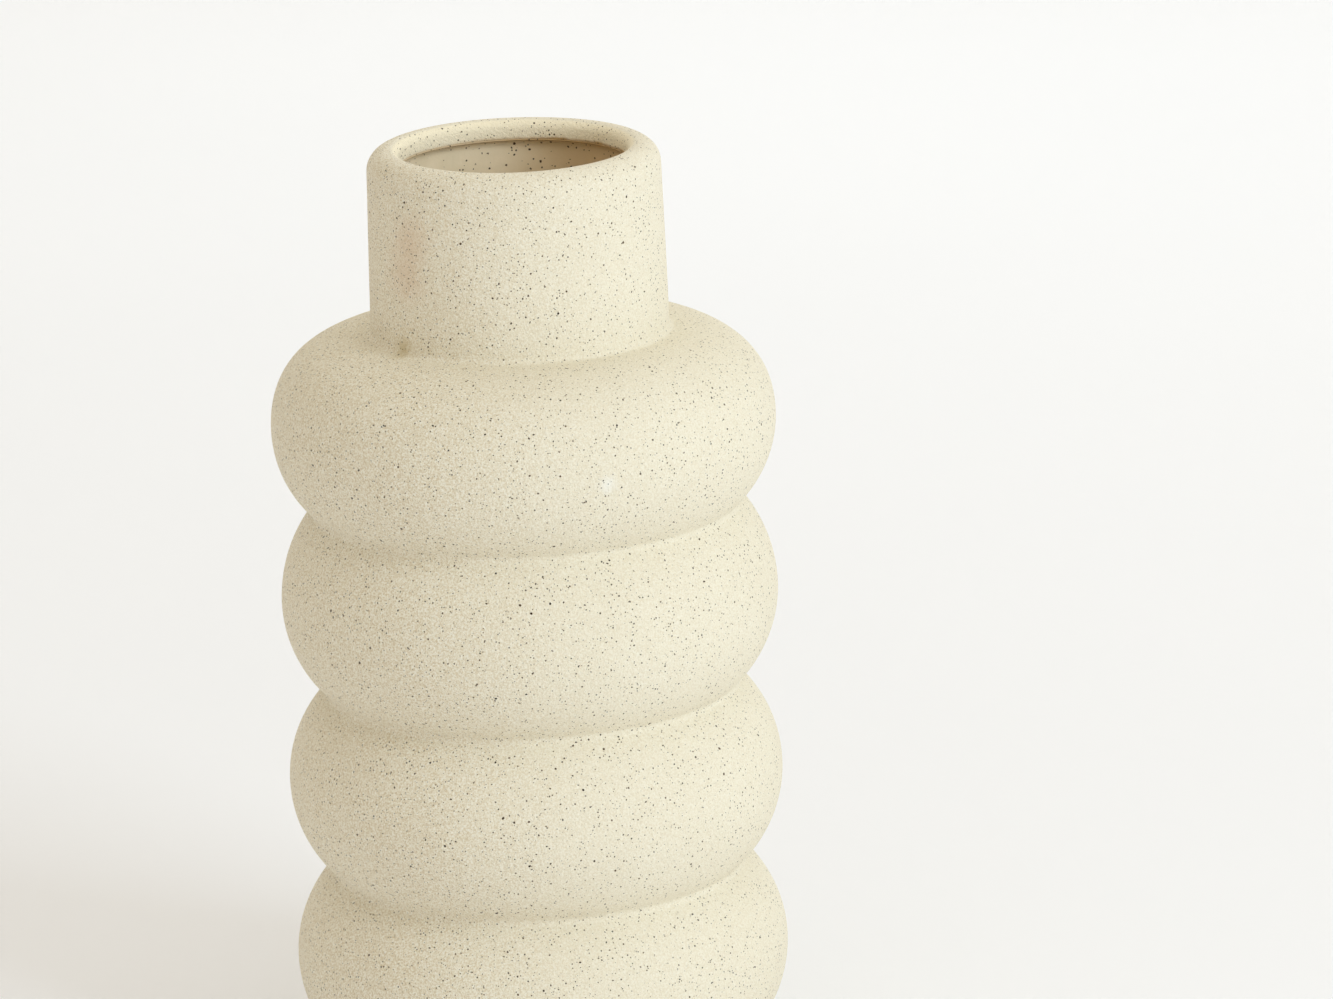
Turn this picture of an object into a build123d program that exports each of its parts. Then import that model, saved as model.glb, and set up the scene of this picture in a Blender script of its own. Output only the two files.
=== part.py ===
from build123d import *

import os

# Slip-cast stoneware vase: a stack of rounded rings under a plain, nearly straight neck with a thick lip.
# Millimetres, +Z up. The origin is the centre of the underside, on the surface that the vase stands on.
# Every section is drawn in the XZ plane, as (radius, height), and revolved about Z.

# ---- driving dimensions ----
total_height = 300.0

ring_count = 4
ring_pitch = 59.3
ring_radius = 79.2
groove_radius = 65.5

shoulder_ring_radius = 80.0
shoulder_groove_radius = 67.9
shoulder_groove_below_crown = 115.3
shoulder_widest_below_crown = 88.5
shoulder_top_below_crown = 59.0
shoulder_fullness = 0.64

neck_radius_at_lip = 46.4
neck_radius_at_shoulder = 47.3
mouth_radius = 36.3
lip_height = 6.2
lip_outer_round = 6.8
lip_inner_round = 3.2
lip_undercut_round = 3.0

wall = 6.2
groove_round = 2.0
neck_foot_round = 2.0
floor_thickness = 6.5
floor_round = 7.0
# Inside, the wall swells behind each groove: the rib stands in this much further than the wall elsewhere.
rib_ratio = 1.45
rib_round = 4.5

foot_ring_width = 13.0
foot_recess = 3.0
foot_edge_round = 1.5

glaze_thickness = 0.5

pad_count = 4
pad_radius = 5.0
pad_thickness = 1.5
pad_edge_round = 0.4

# ---- heights and radii that follow ----
foot_z = pad_thickness
recess_z = foot_z + foot_recess
floor_z = recess_z + floor_thickness
lip_edge_z = total_height - lip_height
shoulder_top_z = total_height - shoulder_top_below_crown
shoulder_widest_z = total_height - shoulder_widest_below_crown
shoulder_groove_z = total_height - shoulder_groove_below_crown
neck_inner_radius = neck_radius_at_lip - wall
foot_inner_radius = groove_radius - foot_ring_width
pad_circle_radius = groove_radius - foot_ring_width / 2

# The groove under each ring, from the shoulder ring down. The last one is where the foot begins.
grooves = [(shoulder_groove_radius, shoulder_groove_z)]
for below in range(1, ring_count):
    grooves.append((groove_radius, shoulder_groove_z - below * ring_pitch))
foot_top_z = grooves[-1][1]


def ring_arcs(inset):
    """Draw every ring below the shoulder's widest point, moved in by inset: 0 is the outside."""
    rib = rib_ratio * inset
    shoulder_widest = (shoulder_ring_radius - inset, shoulder_widest_z)
    TangentArc(shoulder_widest, (grooves[0][0] - rib, grooves[0][1]), tangent=(0, -1))
    for above, under in zip(grooves, grooves[1:]):
        widest = (ring_radius - inset, (above[1] + under[1]) / 2)
        TangentArc(widest, (above[0] - rib, above[1]), tangent=(0, 1))
        TangentArc(widest, (under[0] - rib, under[1]), tangent=(0, -1))


def shoulder_curve(start, inset):
    """Draw the shoulder, level where it leaves the neck and upright at its widest."""
    end = (shoulder_ring_radius - inset, shoulder_widest_z)
    level_handle = (start[0] + shoulder_fullness * (end[0] - start[0]), start[1])
    upright_handle = (end[0], end[1] + shoulder_fullness * (start[1] - end[1]))
    Bezier(start, level_handle, upright_handle, end)


def circles_at(part, height):
    """The part's circular edges at a height, the smallest first."""
    circles = part.edges().filter_by(GeomType.CIRCLE)
    return circles.filter_by(lambda edge: abs(edge.center().Z - height) < 0.01).sort_by(SortBy.RADIUS)


def hollow(coat):
    """The space inside the vase, from its floor to the lip's lower edge, with the walls coated."""
    inset = wall + coat
    neck_r = neck_inner_radius - coat
    shoulder_z = shoulder_top_z - inset
    top_z = lip_edge_z - coat
    with BuildPart() as space:
        with BuildSketch(Plane.XZ):
            with BuildLine():
                ring_arcs(inset)
                shoulder_curve((neck_r, shoulder_z), inset)
                Line((neck_r, shoulder_z), (neck_r, top_z))
                Line((neck_r, top_z), (0, top_z))
                Line((0, top_z), (0, foot_top_z))
                Line((0, foot_top_z), (groove_radius - rib_ratio * inset, foot_top_z))
            make_face()
        revolve(axis=Axis.Z)
        split(bisect_by=Plane.XY.offset(floor_z + coat), keep=Keep.TOP)
        for _, height in grooves[:-1]:
            fillet(circles_at(space.part, height), radius=rib_round)
        fillet(circles_at(space.part, shoulder_z), radius=neck_foot_round + wall)
        fillet(circles_at(space.part, floor_z + coat), radius=floor_round)
        fillet(circles_at(space.part, top_z), radius=lip_undercut_round)
    return space.part


os.makedirs("parts", exist_ok=True)

bare_hollow = hollow(0)
glazed_hollow = hollow(glaze_thickness)

# ---- stoneware body: neck, lip, rings, floor and foot ring, cast and fired as one piece ----
with BuildPart() as stoneware_body:
    with BuildSketch(Plane.XZ):
        with BuildLine():
            ring_arcs(0)
            shoulder_curve((neck_radius_at_shoulder, shoulder_top_z), 0)
            Polyline(
                (neck_radius_at_shoulder, shoulder_top_z),
                (neck_radius_at_lip, total_height),
                (0, total_height),
                (0, recess_z),
                (foot_inner_radius, recess_z),
                (foot_inner_radius, foot_z),
                (groove_radius, foot_z),
                (groove_radius, foot_top_z),
            )
        make_face()
    revolve(axis=Axis.Z)
    add(bare_hollow, mode=Mode.SUBTRACT)
    with Locations((0, 0, total_height)):
        Hole(radius=mouth_radius, depth=lip_height)
    for _, height in grooves:
        fillet(circles_at(stoneware_body.part, height), radius=groove_round)
    fillet(circles_at(stoneware_body.part, shoulder_top_z), radius=neck_foot_round)
    fillet(circles_at(stoneware_body.part, foot_z), radius=foot_edge_round)
    fillet(circles_at(stoneware_body.part, total_height)[0], radius=lip_inner_round)
    fillet(circles_at(stoneware_body.part, total_height)[-1], radius=lip_outer_round)
stoneware_body.part.label = "stoneware_body"
export_step(stoneware_body.part, "parts/stoneware_body.step")

# ---- liner glaze: a thin glassy coat over the whole inside, up to the lip's lower edge ----
with BuildPart() as liner_glaze:
    add(bare_hollow)
    add(glazed_hollow, mode=Mode.SUBTRACT)
    with Locations((0, 0, lip_edge_z)):
        Hole(radius=mouth_radius, depth=glaze_thickness)
liner_glaze.part.label = "liner_glaze"
export_step(liner_glaze.part, "parts/liner_glaze.step")

# ---- foot pads: soft discs under the foot ring, evenly spaced ----
for number in range(1, pad_count + 1):
    bearing = 360 / pad_count * (number - 0.5)
    centre = Vector(pad_circle_radius, 0, 0).rotate(Axis.Z, bearing)
    with BuildPart() as foot_pad:
        with BuildSketch(Plane(origin=centre)):
            Circle(pad_radius)
        extrude(amount=pad_thickness)
        fillet(foot_pad.edges().group_by(Axis.Z)[0], radius=pad_edge_round)
    foot_pad.part.label = f"foot_pad_{number}"
    export_step(foot_pad.part, f"parts/foot_pad_{number}.step")
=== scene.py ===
import math

import bpy
import numpy as np
from mathutils import Matrix, Vector, noise


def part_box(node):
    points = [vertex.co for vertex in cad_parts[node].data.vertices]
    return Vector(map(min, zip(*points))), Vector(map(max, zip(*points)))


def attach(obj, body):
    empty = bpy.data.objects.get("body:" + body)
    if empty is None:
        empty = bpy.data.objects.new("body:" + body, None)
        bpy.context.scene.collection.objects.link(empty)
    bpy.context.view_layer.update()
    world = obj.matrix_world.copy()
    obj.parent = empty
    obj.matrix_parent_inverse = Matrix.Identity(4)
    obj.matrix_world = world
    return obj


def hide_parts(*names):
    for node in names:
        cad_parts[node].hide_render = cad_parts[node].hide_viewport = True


# A ringed stoneware vase. Everything is in metres and in the CAD's frame: +Z up, and the origin under the
# middle of the vase.
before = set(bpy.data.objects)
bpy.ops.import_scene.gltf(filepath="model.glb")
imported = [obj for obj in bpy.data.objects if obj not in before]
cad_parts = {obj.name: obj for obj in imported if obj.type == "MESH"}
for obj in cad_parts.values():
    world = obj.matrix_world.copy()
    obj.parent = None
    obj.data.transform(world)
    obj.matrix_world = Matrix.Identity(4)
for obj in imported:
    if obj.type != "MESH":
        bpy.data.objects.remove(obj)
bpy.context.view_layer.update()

MM = 0.001

# ---- sizes, as the CAD part has them ----
CROWN_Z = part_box("stoneware_body")[1].z
FOOT_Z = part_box("stoneware_body")[0].z
RING_RADIUS = 79.2 * MM
RING_PITCH = 59.3 * MM
LOWER_RINGS = 3
GROOVE_RADIUS = 65.5 * MM
SHOULDER_RING_RADIUS = 80.0 * MM
SHOULDER_GROOVE_RADIUS = 67.9 * MM
SHOULDER_GROOVE_Z = CROWN_Z - 115.3 * MM
SHOULDER_WIDEST_Z = CROWN_Z - 88.5 * MM
SHOULDER_TOP_Z = CROWN_Z - 59.0 * MM
SHOULDER_FULLNESS = 0.64
NECK_RADIUS_AT_LIP = 46.4 * MM
NECK_RADIUS_AT_SHOULDER = 47.3 * MM
MOUTH_RADIUS = 36.3 * MM
LIP_EDGE_Z = CROWN_Z - 6.2 * MM
LIP_OUTER_ROUND = 6.8 * MM
LIP_INNER_ROUND = 3.2 * MM
LIP_EDGE_ROUND = 0.35 * MM
LIP_UNDERCUT_ROUND = 3.0 * MM
WALL = 6.2 * MM
RIB_RATIO = 1.45
RIB_ROUND = 4.5 * MM
GROOVE_ROUND = 2.0 * MM
NECK_FOOT_ROUND = 2.0 * MM
FLOOR_ROUND = 7.0 * MM
FOOT_EDGE_ROUND = 1.5 * MM
FOOT_INNER_RADIUS = GROOVE_RADIUS - 13.0 * MM
RECESS_Z = FOOT_Z + 3.0 * MM
FLOOR_Z = RECESS_Z + 6.5 * MM
GLAZE = 0.5 * MM

# The groove under each ring, from the shoulder ring down. The last is where the foot begins.
GROOVES = [(SHOULDER_GROOVE_RADIUS, SHOULDER_GROOVE_Z)]
for below in range(1, LOWER_RINGS + 1):
    GROOVES.append((GROOVE_RADIUS, SHOULDER_GROOVE_Z - below * RING_PITCH))
FOOT_TOP_Z = GROOVES[-1][1]

# ---- patches on the clay: centre, size, raggedness, strength and tone ----
CLAY_PATCHES = (
    # Browner patches on the neck's left front.
    ((-33.4 * MM, -32.6 * MM, 278.2 * MM), 12.0 * MM, 7.0 * MM, 0.42, "brownish"),
    ((-34.8 * MM, -31.3 * MM, 266.9 * MM), 13.0 * MM, 8.0 * MM, 0.45, "brownish"),
    ((-37.0 * MM, -30.5 * MM, 243.4 * MM), 5.5 * MM, 4.0 * MM, 0.60, "stain"),
    # A small pale fleck on the shoulder ring.
    ((25.0 * MM, -75.9 * MM, 209.5 * MM), 4.2 * MM, 2.0 * MM, 0.75, "pale_fleck"),
)

# ---- where the clay sagged before it was fired: how far, towards which bearing in degrees, at what height
# and over what reach up and down ----
SAGS = (
    (0.9 * MM, 0, CROWN_Z - 62 * MM, 20 * MM),
    (0.4 * MM, -100, CROWN_Z - 2 * MM, 12 * MM),
)

# ---- how the clay wanders from a true circle: how far, how finely, and from which corner of the noise ----
WANDERS = (
    (0.22 * MM, 1.3, (3.1, 0, 7.7)),
    (0.10 * MM, 3.5, (0, 5.3, 1.9)),
)
WANDER_HEIGHT = 80 * MM

# ---- how finely the surfaces are cut ----
TURN_STEPS = 224
OUTSIDE_STEP = 3.0 * MM
INSIDE_STEP = 8.0 * MM
BEND_STEP = math.radians(10.5)
LIP_POINTS = 200
NECK_POINTS = 120
# How much of the hollow's outline the rounding of the lip's lower edge is cut from.
UNDERCUT_POINTS = 12
# Points closer together than this are one point.
SAME_POINT = 1e-9


# ======== outlines: (radius, height) points, from formulas ========

def arc_from_widest(widest, end, points=60):
    """The arc that leaves a ring's widest point upright and ends at a groove."""
    rise = end[1] - widest[1]
    depth = widest[0] - end[0]
    radius = (rise**2 + depth**2) / (2 * depth)
    angles = np.linspace(0, math.asin(min(1, abs(rise) / radius)), points)
    r = widest[0] - radius * (1 - np.cos(angles))
    z = widest[1] + math.copysign(radius, rise) * np.sin(angles)
    return np.stack([r, z], 1)


def straight(start, end, points=40):
    return np.linspace(start, end, points)


def shoulder_curve(start, inset, points=90):
    """Level where it leaves the neck and upright at the shoulder's widest point."""
    end = np.array((SHOULDER_RING_RADIUS - inset, SHOULDER_WIDEST_Z))
    start = np.array(start)
    level = np.array((start[0] + SHOULDER_FULLNESS * (end[0] - start[0]), start[1]))
    upright = np.array((end[0], end[1] + SHOULDER_FULLNESS * (start[1] - end[1])))
    t = np.linspace(0, 1, points)[:, None]
    return (1 - t)**3 * start + 3 * (1 - t)**2 * t * level + 3 * (1 - t) * t**2 * upright + t**3 * end


def offset_line(points, distance):
    """The points moved sideways, to the left of their direction of travel."""
    along = np.gradient(points, axis=0)
    along /= np.linalg.norm(along, axis=1)[:, None]
    return points + distance * np.stack([-along[:, 1], along[:, 0]], 1)


def crossing(line_a, line_b):
    """Where two polylines cross: the crossing nearest their shared corner."""
    a0, a1 = line_a[:-1, None], line_a[1:, None]
    b0, b1 = line_b[None, :-1], line_b[None, 1:]
    da, db = a1 - a0, b1 - b0
    cross = da[..., 0] * db[..., 1] - da[..., 1] * db[..., 0]
    gap = b0 - a0
    with np.errstate(divide="ignore", invalid="ignore"):
        s = (gap[..., 0] * db[..., 1] - gap[..., 1] * db[..., 0]) / cross
        t = (gap[..., 0] * da[..., 1] - gap[..., 1] * da[..., 0]) / cross
    found = np.argwhere((s >= 0) & (s <= 1) & (t >= 0) & (t <= 1))
    i, j = found[np.argmax(found[:, 0] - found[:, 1])]
    return line_a[i] + s[i, j] * (line_a[i + 1] - line_a[i])


def rounded_join(before, after, radius, points=14):
    """Two stretches of outline joined by an arc that touches both."""
    way_in = before[-1] - before[-2]
    way_out = after[1] - after[0]
    side = math.copysign(1, way_in[0] * way_out[1] - way_in[1] * way_out[0])
    centre = crossing(offset_line(before, side * radius), offset_line(after, side * radius))
    cut_before = np.argmin(np.linalg.norm(before - centre, axis=1))
    cut_after = np.argmin(np.linalg.norm(after - centre, axis=1))
    first = math.atan2(*(before[cut_before] - centre)[::-1])
    last = math.atan2(*(after[cut_after] - centre)[::-1])
    turn = (last - first + math.pi) % (2 * math.pi) - math.pi
    angles = first + turn * np.linspace(0, 1, points)
    arc = centre + radius * np.stack([np.cos(angles), np.sin(angles)], 1)
    return np.concatenate([before[:cut_before], arc, after[cut_after + 1:]])


def chain(*stretches):
    """Joins (radius of the rounding, points) stretches, end to end."""
    outline = stretches[0][1]
    for radius, points in stretches[1:]:
        outline = rounded_join(outline, points, radius) if radius else np.concatenate([outline, points[1:]])
    return outline


def evened(outline, step):
    """The outline cut again, evenly by length and turning together."""
    legs = np.diff(outline, axis=0)
    lengths = np.linalg.norm(legs, axis=1)
    keep = np.concatenate([[True], lengths > SAME_POINT])
    outline = outline[keep]
    legs = np.diff(outline, axis=0)
    lengths = np.linalg.norm(legs, axis=1)
    headings = np.unwrap(np.arctan2(legs[:, 1], legs[:, 0]))
    turns = np.abs(np.diff(headings, prepend=headings[0]))
    spent = np.concatenate([[0], np.cumsum(lengths / step + turns / BEND_STEP)])
    count = math.ceil(spent[-1]) + 1
    at = np.linspace(0, spent[-1], count)
    return np.stack([np.interp(at, spent, outline[:, 0]), np.interp(at, spent, outline[:, 1])], 1)


def ring_stretches(inset, top_down):
    """The stretches from the shoulder's widest point down to the last groove, with their roundings."""
    rib = RIB_RATIO * inset
    rounding = RIB_ROUND if inset else GROOVE_ROUND
    first_end = (GROOVES[0][0] - rib, GROOVES[0][1])
    stretches = [(0, arc_from_widest((SHOULDER_RING_RADIUS - inset, SHOULDER_WIDEST_Z), first_end))]
    for above, under in zip(GROOVES, GROOVES[1:]):
        widest = (RING_RADIUS - inset, (above[1] + under[1]) / 2)
        upper = arc_from_widest(widest, (above[0] - rib, above[1]))
        stretches.append((rounding, upper[::-1]))
        stretches.append((0, arc_from_widest(widest, (under[0] - rib, under[1]))))
    if top_down:
        return stretches
    roundings = [0] + [radius for radius, _ in stretches[:0:-1]]
    return [(radius, points[::-1]) for radius, (_, points) in zip(roundings, stretches[::-1])]


def outside_outline():
    """From the middle of the base, round the foot, up the rings and the neck, to the crown."""
    stretches = [
        (0, straight((0, RECESS_Z), (FOOT_INNER_RADIUS, RECESS_Z))),
        (FOOT_EDGE_ROUND / 2, straight((FOOT_INNER_RADIUS, RECESS_Z), (FOOT_INNER_RADIUS, FOOT_Z))),
        (FOOT_EDGE_ROUND, straight((FOOT_INNER_RADIUS, FOOT_Z), (GROOVE_RADIUS, FOOT_Z))),
        (FOOT_EDGE_ROUND, straight((GROOVE_RADIUS, FOOT_Z), (GROOVE_RADIUS, FOOT_TOP_Z))),
    ]
    climbing = ring_stretches(0, top_down=False)
    climbing[0] = (GROOVE_ROUND, climbing[0][1])
    stretches += climbing
    stretches.append((0, shoulder_curve((NECK_RADIUS_AT_SHOULDER, SHOULDER_TOP_Z), 0)[::-1]))
    neck_foot = (NECK_RADIUS_AT_SHOULDER, SHOULDER_TOP_Z)
    neck_top = (NECK_RADIUS_AT_LIP, CROWN_Z)
    stretches.append((NECK_FOOT_ROUND, straight(neck_foot, neck_top, LIP_POINTS)))
    stretches.append((LIP_OUTER_ROUND, straight(neck_top, (MOUTH_RADIUS, CROWN_Z), LIP_POINTS)))
    return chain(*stretches)


def hollow_outline(coat):
    """From the lip's lower edge, down the neck and the rings, to the middle of the floor."""
    inset = WALL + coat
    neck_r = NECK_RADIUS_AT_LIP - inset
    shoulder_z = SHOULDER_TOP_Z - inset
    top_z = LIP_EDGE_Z - coat
    floor_z = FLOOR_Z + coat
    falling = ring_stretches(inset, top_down=True)
    last = falling[-1][1]
    reaches = last[last[:, 1] > floor_z]
    floor_r = np.interp(floor_z, last[::-1, 1], last[::-1, 0])
    falling[-1] = (0, np.concatenate([reaches, [(floor_r, floor_z)]]))
    return chain(
        (0, straight((MOUTH_RADIUS, top_z), (neck_r, top_z))),
        (LIP_UNDERCUT_ROUND, straight((neck_r, top_z), (neck_r, shoulder_z), NECK_POINTS)),
        (NECK_FOOT_ROUND + WALL, shoulder_curve((neck_r, shoulder_z), inset)),
        *falling,
        (FLOOR_ROUND, straight((floor_r, floor_z), (0, floor_z))),
    )


def body_outline():
    """The whole skin of the stoneware, from under its base, over the lip and down inside to the floor."""
    lip_side = straight((MOUTH_RADIUS, CROWN_Z), (MOUTH_RADIUS, LIP_EDGE_Z), LIP_POINTS)
    outside = chain((0, outside_outline()), (LIP_INNER_ROUND, lip_side))
    inside = hollow_outline(0)
    return np.concatenate([
        evened(chain((0, outside), (LIP_EDGE_ROUND, inside[:UNDERCUT_POINTS])), OUTSIDE_STEP),
        evened(inside[UNDERCUT_POINTS - 1:], INSIDE_STEP)[1:],
    ])


def glaze_outline():
    """A closed skin round the glaze: down the clay's side of it and back up its own face."""
    against_clay = evened(hollow_outline(0), INSIDE_STEP)
    face = evened(hollow_outline(GLAZE), INSIDE_STEP / 2)
    return np.concatenate([against_clay[::-1], face])


# ======== meshes ========

def hand_wander(z, turn):
    """How far the clay wanders from a true circle: a few tenths of a millimetre, and only inwards."""
    place = Vector((math.cos(turn), math.sin(turn), z / WANDER_HEIGHT))
    wander = 0
    for depth, fineness, corner in WANDERS:
        wander += depth * (noise.noise(place * fineness + Vector(corner)) - 1)
    return wander


def hand_sag(z, turn):
    """How far the clay has sagged: the shoulder about a millimetre on one side, the lip a little in front."""
    sag = 0
    for depth, towards, height, reach in SAGS:
        facing = max(0, math.cos(turn - math.radians(towards)))
        sag += depth * facing**2 * math.exp(-((z - height) / reach)**2)
    return sag


def revolved(name, outline):
    """A closed mesh of revolution. The outline starts and ends on the axis, where one point is enough."""
    steps = np.arange(TURN_STEPS) * 2 * math.pi / TURN_STEPS
    verts = [(0, 0, outline[0][1])]
    for r, z in outline[1:-1]:
        for turn in steps:
            radius = r + hand_wander(z, turn)
            verts.append((radius * math.cos(turn), radius * math.sin(turn), z - hand_sag(z, turn)))
    verts.append((0, 0, outline[-1][1]))
    rows = len(outline) - 2
    last = len(verts) - 1
    faces = []
    for step in range(TURN_STEPS):
        following = (step + 1) % TURN_STEPS
        faces.append((0, 1 + following, 1 + step))
        for row in range(rows - 1):
            here = 1 + row * TURN_STEPS
            above = here + TURN_STEPS
            faces.append((here + step, here + following, above + following, above + step))
        top = 1 + (rows - 1) * TURN_STEPS
        faces.append((top + step, top + following, last))
    mesh = bpy.data.meshes.new(name)
    mesh.from_pydata(verts, [], faces)
    mesh.update()
    mesh.shade_smooth()
    piece = bpy.data.objects.new(name, mesh)
    bpy.context.scene.collection.objects.link(piece)
    return piece


# ======== materials: node trees, all in object space ========

# How big the ragged steps of a spot's edge are, as a share of the spot.
SPOT_EDGE_SIZE = 0.7


class Graph:
    """Builds a material's node tree. A socket given as an input is linked, and anything else is set on it."""

    def __init__(self, name):
        self.material = bpy.data.materials.new(name)
        self.material.use_nodes = True
        self.tree = self.material.node_tree
        self.tree.nodes.clear()
        self.place = self.node("ShaderNodeTexCoord").outputs["Object"]

    def node(self, kind, inputs=(), **settings):
        made = self.tree.nodes.new(kind)
        for name, value in settings.items():
            setattr(made, name, value)
        for name, value in dict(inputs).items():
            if isinstance(value, bpy.types.NodeSocket):
                self.tree.links.new(value, made.inputs[name])
            else:
                made.inputs[name].default_value = value
        return made

    def math(self, operation, a, b=0.0, c=0.0):
        return self.node("ShaderNodeMath", {0: a, 1: b, 2: c}, operation=operation).outputs[0]

    def vector(self, operation, a, b=(0, 0, 0)):
        made = self.node("ShaderNodeVectorMath", {0: a, 1: b}, operation=operation)
        return made.outputs["Value" if operation in ("LENGTH", "DISTANCE") else "Vector"]

    def ramp(self, value, start, end, low=0.0, high=1.0):
        """Goes smoothly from low at start to high at end."""
        inputs = {"Value": value, "From Min": start, "From Max": end, "To Min": low, "To Max": high}
        return self.node("ShaderNodeMapRange", inputs, interpolation_type="SMOOTHSTEP").outputs["Result"]

    def along(self, axis):
        """The distance along the x, y or z axis, numbered 0, 1 or 2."""
        return self.node("ShaderNodeSeparateXYZ", {"Vector": self.place}).outputs[axis]

    def from_axis(self):
        """The distance from the vase's own axis."""
        return self.vector("LENGTH", self.vector("MULTIPLY", self.place, (1, 1, 0)))

    def noise(self, size, detail=2.0, rough=0.5, place=None):
        """Cloudy noise from 0 to 1, its blobs about size metres across."""
        inputs = {"Vector": place or self.place, "Scale": 1 / size, "Detail": detail, "Roughness": rough}
        return self.node("ShaderNodeTexNoise", inputs).outputs["Fac"]

    def wobble(self, size, detail, span):
        """The same noise about zero, span metres from end to end."""
        return self.math("MULTIPLY_ADD", self.noise(size, detail), span, -span / 2)

    def cells(self, size, place):
        """Scattered points about size metres apart: the distance to the nearest in metres, and its colour."""
        made = self.node("ShaderNodeTexVoronoi", {"Vector": place, "Scale": 1 / size})
        distance = self.math("MULTIPLY", made.outputs["Distance"], size)
        return distance, self.node("ShaderNodeSeparateColor", {"Color": made.outputs["Color"]}).outputs

    def tint(self, share, base, colour):
        """The base colour with the other mixed over it."""
        made = self.node("ShaderNodeMix", data_type="RGBA")
        for index, value in ((0, share), (6, base), (7, colour)):
            if isinstance(value, bpy.types.NodeSocket):
                self.tree.links.new(value, made.inputs[index])
            else:
                made.inputs[index].default_value = value
        return made.outputs[2]

    def turned(self, angles, warp=0.0, warp_size=3 * MM):
        """The place turned about the origin, and bent by noise so that nothing lies in rows."""
        rotated = {"Vector": self.place, "Rotation": angles}
        place = self.node("ShaderNodeVectorRotate", rotated, rotation_type="EULER_XYZ").outputs[0]
        inputs = {"Vector": place, "Scale": 1 / warp_size, "Detail": 1.0}
        bends = self.node("ShaderNodeTexNoise", inputs).outputs["Color"]
        scaled = {0: bends, 1: (warp, warp, warp), 2: place}
        return self.node("ShaderNodeVectorMath", scaled, operation="MULTIPLY_ADD").outputs["Vector"]

    def spot(self, centre, size, ragged):
        """A soft patch round a point, from 1 inside to 0 outside, with a ragged edge."""
        distance = self.vector("DISTANCE", self.place, centre)
        edge = self.wobble(SPOT_EDGE_SIZE * size, 3, ragged)
        return self.ramp(self.math("ADD", distance, edge), 0, size, 1, 0)

    def finish(self, colour, height, bump, **constants):
        """The shader itself: bump is the height's depth in metres."""
        inputs = {"Height": height, "Distance": bump, "Strength": 1.0}
        normal = self.node("ShaderNodeBump", inputs).outputs["Normal"]
        shader_inputs = {"Base Color": colour, "Normal": normal}
        shader_inputs.update({name.replace("_", " "): value for name, value in constants.items()})
        shader = self.node("ShaderNodeBsdfPrincipled", shader_inputs)
        self.node("ShaderNodeOutputMaterial", {"Surface": shader.outputs[0]})
        return self.material


def linear(r, g, b):
    return (r, g, b, 1.0)


CLAY = {
    "cream": linear(0.868, 0.808, 0.645),
    "sand": linear(0.69, 0.585, 0.40),
    "pale": linear(0.97, 0.94, 0.83),
    "brownish": linear(0.74, 0.54, 0.37),
    "stain": linear(0.58, 0.46, 0.22),
    "pale_fleck": linear(0.93, 0.91, 0.82),
    "lip face": linear(0.98, 0.895, 0.68),
    # Browned edge under the lip, also used for painted shade there.
    "toasted_and_shade": linear(0.50, 0.31, 0.12),
}
COAT = {
    "tan": linear(0.93, 0.80, 0.57),
    "deep": linear(0.72, 0.62, 0.40),
    # Painted shade for the inside of the mouth at +X.
    "painted_shade_amber": linear(0.70, 0.50, 0.27),
    # Browned edge of the glaze, partly a painted shadow under the lip.
    "toasted_and_shade": linear(0.42, 0.26, 0.10),
}
IRON_CORE = linear(0.014, 0.008, 0.003)
IRON_RUST = linear(0.10, 0.058, 0.022)
FELT_DARK = linear(0.52, 0.48, 0.40)
FELT_LIGHT = linear(0.68, 0.64, 0.56)
FLOOR_DARK = linear(0.955, 0.960, 0.985)
FLOOR_LIGHT = linear(0.970, 0.975, 1.0)

# ---- iron specks: spacing, smallest and largest radius, the share of places that hold one, and the turn of
# the pattern, so that no two layers line up ----
SPECK_LAYERS = (
    (1.10 * MM, 0.09 * MM, 0.23 * MM, 0.95, (0.4, 1.1, 0.3)),
    (1.65 * MM, 0.18 * MM, 0.31 * MM, 0.90, (1.3, 0.5, 2.0)),
    (4.00 * MM, 0.26 * MM, 0.42 * MM, 0.60, (2.2, 0.9, 0.7)),
)
# The power that makes most of a layer's specks small.
SPECK_SMALLNESS = 1.5
# How ragged a speck's edge is, in largest radii, how big the steps are, and over what depth the edge blurs.
SPECK_RAGGEDNESS = 0.7
SPECK_EDGE_SIZE = 0.30 * MM
SPECK_EDGE = (-0.02 * MM, 0.04 * MM)
# How far the noise bends a layer's pattern, and over what size, in spacings.
SPECK_WARP = 0.8
SPECK_WARP_SIZE = 2.3
SMALLEST_SPECK_STRENGTH = 0.65
# The glaze's specks are this many times larger and further apart.
GLAZE_SPECK_SIZE = 1.6

# ---- the clay: slow clouds, sandy grain that fades inside the mouth and towards the lit side, painted stronger on the shaded side as painted shade of the sand's relief, and bumps ----
CLOUD_SIZE = 38 * MM
CLOUD_STRENGTH = 0.10
GRAIN_SIZE = 0.55 * MM
GRAIN_DARKER = (0.49, 0.62)
GRAIN_LIGHTER = (0.36, 0.49)
GRAIN_AND_SHADE_FADES_ALONG_X = (-50 * MM, 25 * MM)
GRAIN_ON_LIT_SIDE = 0.38
GRAIN_FADES_TO_AXIS = (MOUTH_RADIUS + 1 * MM, MOUTH_RADIUS + 4 * MM)
GRAIN_INSIDE_MOUTH = 0.35
FINE_BUMP_SIZE = 0.36 * MM
COARSE_BUMP_SIZE = 0.85 * MM
COARSE_BUMP_TURN = (0.7, 0.2, 1.9)
COARSE_BUMP_SHARE = 2.0
CLAY_BUMP = 0.18 * MM

# ---- the creamier face of the lip inside the mouth ----
LIP_FACE_FADES = (MOUTH_RADIUS + 0.9 * MM, MOUTH_RADIUS + 2.0 * MM)
LIP_FACE_BOTTOM_Z = LIP_EDGE_Z - 2 * MM
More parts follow.
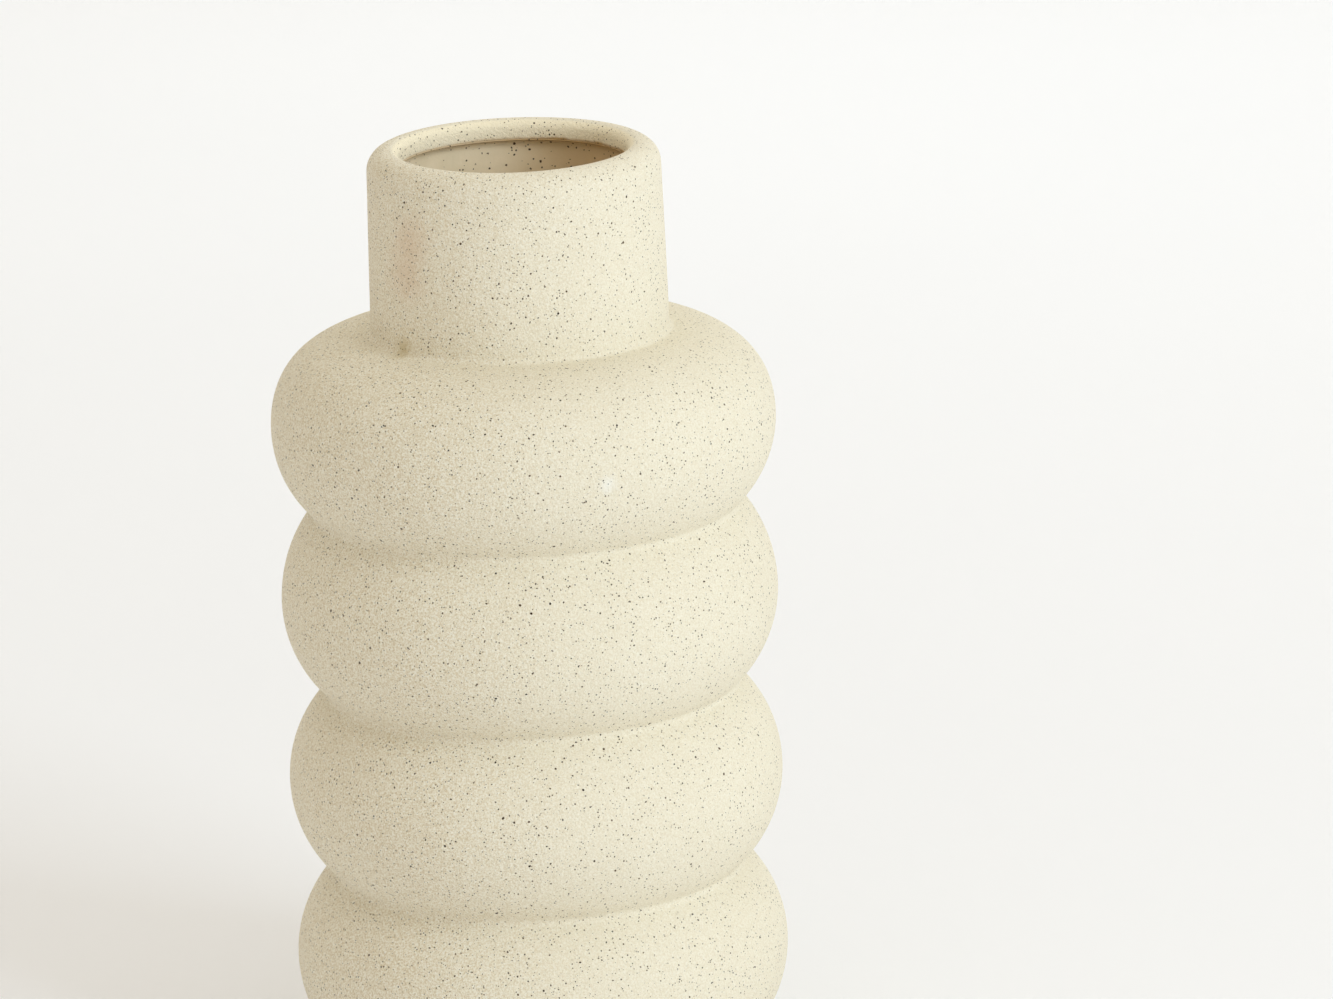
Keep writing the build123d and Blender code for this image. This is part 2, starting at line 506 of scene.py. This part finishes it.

# ---- the browned edge under the lip, and a painted shade smeared up the lip's face on the +X side that is turned from the light, by height above that edge and by x ----
TOASTED_WOBBLE = 0.9 * MM
TOASTED_WOBBLE_SIZE = 3.0 * MM
TOASTED_LINE = (0.25 * MM, 1.1 * MM)
# How high the painted shade smears up the lip's face, and how dark it is.
PAINTED_SHADE_SMEAR_TOP = 4.0 * MM
PAINTED_SHADE_SMEAR = 0.26
TOASTED_AND_SHADED_SIDE = (-30 * MM, 32 * MM)
TOASTED_LEAST = 0.30
TOASTED_GAIN = 0.55
TOASTED_PATCH_SIZE = 7 * MM
TOASTED_PATCH_LEAST = 0.45

# ---- the glaze: clouds, a painted shade of amber towards +X where the inside of the mouth lies in shade, and browned just below the lip, partly a painted shadow under the lip ----
GLAZE_CLOUD_SIZE = 14 * MM
GLAZE_CLOUD_STRENGTH = 0.5
PAINTED_SHADE_ALONG_X = (-12 * MM, 36 * MM)
GLAZE_EDGE_WOBBLE = 1.6 * MM
GLAZE_EDGE_WOBBLE_SIZE = 2.0 * MM
# The browned band just under the lip is partly the glaze's own edge and partly a painted shadow of the
# undercut, stronger on the shaded +X side.
GLAZE_EDGE_Z = (LIP_EDGE_Z - 1.5 * MM, LIP_EDGE_Z - 0.4 * MM)
GLAZE_EDGE_SIDE = (-30 * MM, 30 * MM)
GLAZE_EDGE_LEAST = 0.55
GLAZE_BUMP = 0.08 * MM
GLAZE_BUMP_SIZE = 2.5 * MM

# ---- the felt pads and the floor ----
FELT_STRETCH = (1, 0.35, 1)
FIBRE_SIZE = 0.35 * MM
FELT_BUMP = 0.15 * MM
FLOOR_CLOUD_SIZE = 0.9
FLOOR_BUMP = 0.05 * MM
FLOOR_BUMP_SIZE = 4 * MM


def specks(graph, spacing, smallest, largest, share, angles):
    """Scattered specks: how much each point is covered by one, and two random numbers for each speck.

    A speck sits in a share of the cells, spacing apart, with a radius between the two given."""
    place = graph.turned(angles, warp=SPECK_WARP * spacing, warp_size=SPECK_WARP_SIZE * spacing)
    distance, random = graph.cells(spacing, place)
    weight = graph.math("POWER", random[0], SPECK_SMALLNESS)
    radius = graph.math("MULTIPLY_ADD", weight, largest - smallest, smallest)
    ragged = graph.wobble(SPECK_EDGE_SIZE, 1, SPECK_RAGGEDNESS * largest)
    depth = graph.math("ADD", graph.math("SUBTRACT", radius, distance), ragged)
    cover = graph.ramp(depth, *SPECK_EDGE)
    present = graph.math("LESS_THAN", random[1], share)
    return graph.math("MULTIPLY", cover, present), random[2], random[0]


def speckled(graph, colour, size_factor=1.0):
    """The iron specks over a colour: most are small, and each has its own darkness."""
    for spacing, smallest, largest, share, angles in SPECK_LAYERS:
        lengths = (spacing * size_factor, smallest * size_factor, largest * size_factor)
        cover, tone, weight = specks(graph, *lengths, share, angles)
        speck_colour = graph.tint(tone, IRON_CORE, IRON_RUST)
        strength = graph.ramp(weight, 0.0, 0.5, SMALLEST_SPECK_STRENGTH, 1.0)
        colour = graph.tint(graph.math("MULTIPLY", cover, strength), colour, speck_colour)
    return colour


def stoneware_material():
    graph = Graph("speckled_stoneware")
    clouds = graph.ramp(graph.noise(CLOUD_SIZE, 3), 0.35, 0.75, 0, CLOUD_STRENGTH)
    colour = graph.tint(clouds, CLAY["cream"], CLAY["sand"])

    grain = graph.noise(GRAIN_SIZE, 2, 0.8)
    # Painted shade: the clay's own grain is made stronger towards -X, away from the light, to stand in for
    # the shading of the sand's relief there.
    lit = graph.ramp(graph.along(0), *GRAIN_AND_SHADE_FADES_ALONG_X, 1.0, GRAIN_ON_LIT_SIDE)
    outside = graph.ramp(graph.from_axis(), *GRAIN_FADES_TO_AXIS, GRAIN_INSIDE_MOUTH, 1)
    grain_and_painted_shade = graph.math("MULTIPLY", lit, outside)
    darker = graph.math("MULTIPLY", graph.ramp(grain, *GRAIN_DARKER), grain_and_painted_shade)
    lighter = graph.math("MULTIPLY", graph.ramp(grain, *GRAIN_LIGHTER, 1, 0), grain_and_painted_shade)
    colour = graph.tint(darker, colour, CLAY["sand"])
    colour = graph.tint(lighter, colour, CLAY["pale"])

    for centre, size, ragged, strength, tone in CLAY_PATCHES:
        patch = graph.spot(centre, size, ragged)
        colour = graph.tint(graph.math("MULTIPLY", patch, strength), colour, CLAY[tone])

    colour = graph.tint(lip_face(graph), colour, CLAY["lip face"])
    # The browned line under the lip, with painted shade on the lip's face at +X.
    colour = graph.tint(toasted_edge_and_shade(graph), colour, CLAY["toasted_and_shade"])
    colour = speckled(graph, colour)

    fine = graph.noise(FINE_BUMP_SIZE, 2, 0.75)
    coarse = graph.noise(COARSE_BUMP_SIZE, 2, 0.6, place=graph.turned(COARSE_BUMP_TURN))
    height = graph.math("MULTIPLY_ADD", coarse, COARSE_BUMP_SHARE, fine)
    return graph.finish(colour, height, CLAY_BUMP, Roughness=0.82, Specular_IOR_Level=0.3)


def lip_face(graph):
    """1 on the face of the lip inside the mouth, and 0 a little way up on to the crown."""
    inside = graph.ramp(graph.from_axis(), *LIP_FACE_FADES, 1, 0)
    high = graph.math("GREATER_THAN", graph.along(2), LIP_FACE_BOTTOM_Z)
    return graph.math("MULTIPLY", inside, high)


def toasted_edge_and_shade(graph):
    """How far the lip's lower inner edge is browned: a thin uneven line, stronger on one side, with a painted
    shade smeared up the lip's face on that side, where the face is turned from the light.
    """
    height = graph.math("SUBTRACT", graph.along(2), LIP_EDGE_Z)
    above = graph.math("ADD", height, graph.wobble(TOASTED_WOBBLE_SIZE, 3, TOASTED_WOBBLE))
    line = graph.ramp(above, *TOASTED_LINE, 1, 0)
    # Painted shade: the browning smeared up the lip's face, strongest at +X, where that face is turned from
    # the light.
    painted_shade = graph.ramp(above, 0.0, PAINTED_SHADE_SMEAR_TOP, PAINTED_SHADE_SMEAR, 0)
    side = graph.ramp(graph.along(0), *TOASTED_AND_SHADED_SIDE)
    strength = graph.math("MULTIPLY_ADD", side, TOASTED_GAIN, TOASTED_LEAST)
    both = graph.math("ADD", graph.math("MULTIPLY", line, strength), graph.math("MULTIPLY", painted_shade, side))
    patchy = graph.ramp(graph.noise(TOASTED_PATCH_SIZE, 3), 0.35, 0.65, TOASTED_PATCH_LEAST, 1.0)
    return graph.math("MULTIPLY", graph.math("MULTIPLY", both, patchy), lip_face(graph))


def glaze_material():
    graph = Graph("liner_glaze")
    clouds = graph.ramp(graph.noise(GLAZE_CLOUD_SIZE, 3), 0.4, 0.75, 0, GLAZE_CLOUD_STRENGTH)
    colour = graph.tint(clouds, COAT["tan"], COAT["deep"])
    # Painted shade: the glaze is made darker and browner towards +X, where the inside of the mouth lies in
    # shade.
    colour = graph.tint(graph.ramp(graph.along(0), *PAINTED_SHADE_ALONG_X), colour, COAT["painted_shade_amber"])
    # Browned glaze edge just below the lip, partly a painted shadow of the undercut, and stronger towards +X,
    # where it is also painted shade.
    wobble = graph.wobble(GLAZE_EDGE_WOBBLE_SIZE, 3, GLAZE_EDGE_WOBBLE)
    edge = graph.ramp(graph.math("ADD", graph.along(2), wobble), *GLAZE_EDGE_Z)
    side = graph.ramp(graph.along(0), *GLAZE_EDGE_SIDE, GLAZE_EDGE_LEAST, 1.0)
    colour = graph.tint(graph.math("MULTIPLY", edge, side), colour, COAT["toasted_and_shade"])
    colour = speckled(graph, colour, GLAZE_SPECK_SIZE)
    return graph.finish(colour, graph.noise(GLAZE_BUMP_SIZE, 2), GLAZE_BUMP, Roughness=0.42)


def felt_material():
    graph = Graph("foot_felt")
    stretched = graph.vector("MULTIPLY", graph.place, FELT_STRETCH)
    fibres = graph.noise(FIBRE_SIZE, 4, 0.7, place=stretched)
    colour = graph.tint(graph.ramp(fibres, 0.3, 0.7), FELT_DARK, FELT_LIGHT)
    return graph.finish(colour, fibres, FELT_BUMP, Roughness=0.95, Sheen_Weight=0.3)


def dress(piece, material):
    piece.data.materials.clear()
    piece.data.materials.append(material)


# ======== the vase ========

body = revolved("stoneware", body_outline())
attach(body, "root")
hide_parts("stoneware_body")
dress(body, stoneware_material())

glaze = revolved("liner", glaze_outline())
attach(glaze, "root")
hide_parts("liner_glaze")
dress(glaze, glaze_material())

felt = felt_material()
for number in range(1, 5):
    dress(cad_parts[f"foot_pad_{number}"], felt)

# ======== floor, light and camera ========

FLOOR_FLAT_RADIUS = 7.0
FLOOR_BEND_RADIUS = 3.0
FLOOR_WALL_HEIGHT = 5.0
FLOOR_BEND_POINTS = 24
FLOOR_STEPS = 96

# Soft boxes: name, place, target, width, height, watts and colour.
LAMPS = (
    ("window", (1.805, -1.515, 1.249), (0, 0, 0.15), 1.2, 1.2, 31, (0.755, 0.880, 1.0)),
    ("backdrop_lamp", (0.3, 1.7, 1.3), (0.1, 1.1, 0), 2.0, 1.4, 8.5, (0.78, 0.90, 1.0)),
)
SURROUND_COLOUR = (1.0, 0.925, 0.790, 1.0)
SURROUND_STRENGTH = 0.76

# The camera looks over the crown: how far back and up it is, how it is turned, and its lens in millimetres.
CAMERA_BACK = 1.9844
CAMERA_UP = 0.4329
CAMERA_PAN = math.radians(1.28)
CAMERA_TILT = math.radians(15.48)
CAMERA_ROLL = math.radians(-1.82)
CAMERA_LENS = 175.5
CAMERA_SENSOR = 36.0


def sweep_floor():
    """A flat round floor that curves up into a wall far outside any camera."""
    wall_radius = FLOOR_FLAT_RADIUS + FLOOR_BEND_RADIUS
    profile = []
    for bend in np.linspace(0, math.pi / 2, FLOOR_BEND_POINTS):
        rise = FLOOR_BEND_RADIUS * (1 - math.cos(bend))
        profile.append((FLOOR_FLAT_RADIUS + FLOOR_BEND_RADIUS * math.sin(bend), rise))
    profile.append((wall_radius, FLOOR_BEND_RADIUS + FLOOR_WALL_HEIGHT))
    verts = [(0, 0, 0)]
    for r, z in profile:
        for step in range(FLOOR_STEPS):
            turn = 2 * math.pi * step / FLOOR_STEPS
            verts.append((r * math.cos(turn), r * math.sin(turn), z))
    faces = []
    for step in range(FLOOR_STEPS):
        following = (step + 1) % FLOOR_STEPS
        faces.append((0, 1 + step, 1 + following))
        for row in range(len(profile) - 1):
            here = 1 + row * FLOOR_STEPS
            beyond = here + FLOOR_STEPS
            faces.append((here + step, beyond + step, beyond + following, here + following))
    mesh = bpy.data.meshes.new("floor")
    mesh.from_pydata(verts, [], faces)
    mesh.shade_smooth()
    floor = bpy.data.objects.new("floor", mesh)
    bpy.context.scene.collection.objects.link(floor)
    graph = Graph("pale_floor")
    colour = graph.tint(graph.ramp(graph.noise(FLOOR_CLOUD_SIZE, 2), 0.3, 0.7), FLOOR_DARK, FLOOR_LIGHT)
    dress(floor, graph.finish(colour, graph.noise(FLOOR_BUMP_SIZE, 2), FLOOR_BUMP, Roughness=0.9))


def softbox(name, position, target, width, height, watts, colour):
    data = bpy.data.lights.new(name, "AREA")
    data.shape = "RECTANGLE"
    data.size = width
    data.size_y = height
    data.energy = watts
    data.color = colour
    lamp = bpy.data.objects.new(name, data)
    lamp.location = position
    lamp.rotation_euler = (Vector(target) - Vector(position)).to_track_quat("-Z", "Y").to_euler()
    bpy.context.scene.collection.objects.link(lamp)


sweep_floor()
for lamp in LAMPS:
    softbox(*lamp)

world = bpy.data.worlds.new("studio")
world.use_nodes = True
background = world.node_tree.nodes["Background"]
background.inputs["Color"].default_value = SURROUND_COLOUR
background.inputs["Strength"].default_value = SURROUND_STRENGTH
bpy.context.scene.world = world
bpy.context.scene.view_settings.view_transform = "Standard"

camera_data = bpy.data.cameras.new("camera")
camera_data.lens = CAMERA_LENS
camera_data.sensor_width = CAMERA_SENSOR
camera = bpy.data.objects.new("camera", camera_data)
ahead = Vector((
    math.sin(CAMERA_PAN) * math.cos(CAMERA_TILT),
    math.cos(CAMERA_PAN) * math.cos(CAMERA_TILT),
    -math.sin(CAMERA_TILT),
))
level = Vector((math.cos(CAMERA_PAN), -math.sin(CAMERA_PAN), 0))
upright = level.cross(ahead)
right = level * math.cos(CAMERA_ROLL) + upright * math.sin(CAMERA_ROLL)
up = upright * math.cos(CAMERA_ROLL) - level * math.sin(CAMERA_ROLL)
place = Matrix((right, up, -ahead)).transposed().to_4x4()
place.translation = Vector((0, -CAMERA_BACK, CROWN_Z + CAMERA_UP))
camera.matrix_world = place
bpy.context.scene.collection.objects.link(camera)
bpy.context.scene.camera = camera
